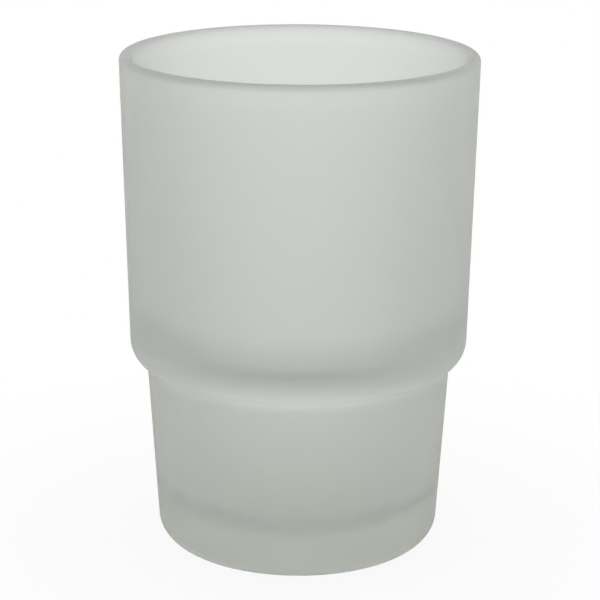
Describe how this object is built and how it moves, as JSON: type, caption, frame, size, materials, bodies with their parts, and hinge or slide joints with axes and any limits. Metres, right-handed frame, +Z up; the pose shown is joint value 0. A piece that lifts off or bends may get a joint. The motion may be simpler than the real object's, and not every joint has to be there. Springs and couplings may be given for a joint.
{
  "type": "bathroom tumbler",
  "caption": "Frosted glass bathroom tumbler: open round vessel with a stepped wall that seats in a holder ring, a rounded rim and a thick base.",
  "frame": {"origin": "centre of the foot ring, on the plane that the tumbler stands on", "axes": "+Z up along the tumbler's axis of revolution, from the foot to the open rim; +X and +Y are any two level directions, as the shape is round"},
  "size_m": [0.07, 0.07, 0.099],
  "materials": {
    "frosted_glass": "acid-etched satin, inside and out"
  },
  "bodies": {
    "root": {"tumbler": "frosted_glass"}
  },
  "joints": []
}
